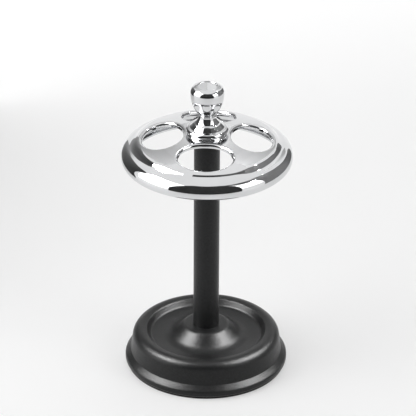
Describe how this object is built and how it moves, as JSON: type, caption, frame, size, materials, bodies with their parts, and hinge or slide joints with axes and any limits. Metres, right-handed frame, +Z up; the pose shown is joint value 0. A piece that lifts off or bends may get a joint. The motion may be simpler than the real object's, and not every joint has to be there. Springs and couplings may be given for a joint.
{
  "type": "toothbrush holder",
  "caption": "Countertop toothbrush stand: round weighted tray base, slim post and a domed plate with oval brush holes, held down by a screw-on finial.",
  "frame": {"origin": "centre of the foot pad's underside", "axes": "+Z up along the post, +X and +Y each through the middle of a brush hole"},
  "size_m": [0.092, 0.092, 0.1678],
  "materials": {
    "chrome": "polished chrome plating",
    "dark_coat": "satin charcoal powder coat",
    "zinc_steel": "bright zinc plating",
    "iron": "as cast",
    "nylon": "natural nylon",
    "foam": "matte foam"
  },
  "bodies": {
    "stand": {"base_shell": "dark_coat", "base_weight": "iron", "base_bolt": "zinc_steel", "base_flat_washer": "zinc_steel", "base_spring_washer": "zinc_steel", "foot_pad": "foam", "post_tube": "dark_coat", "post_top_insert": "zinc_steel", "post_bottom_insert": "zinc_steel"},
    "plate": {"top_plate": "chrome"},
    "washer": {"finial_washer": "nylon"},
    "knob": {"finial": "chrome", "finial_stud": "zinc_steel"}
  },
  "joints": [
    {"name": "plate_lift", "type": "slide", "parent": "stand", "child": "plate", "axis": [0, 0, 1], "range_m": [0, 0.03]},
    {"name": "finial_rise", "type": "slide", "parent": "plate", "child": "washer", "axis": [0, 0, 1], "range_m": [0, 0.01]},
    {"name": "finial_turn", "type": "hinge", "parent": "washer", "child": "knob", "pos_m": [0, 0, 0.15], "axis": [0, 0, 1], "range_deg": [0, 3600]}
  ],
  "couplings": [
    {"joint": "finial_rise", "follows": "finial_turn", "m_per_rad": 0.00015915}
  ]
}
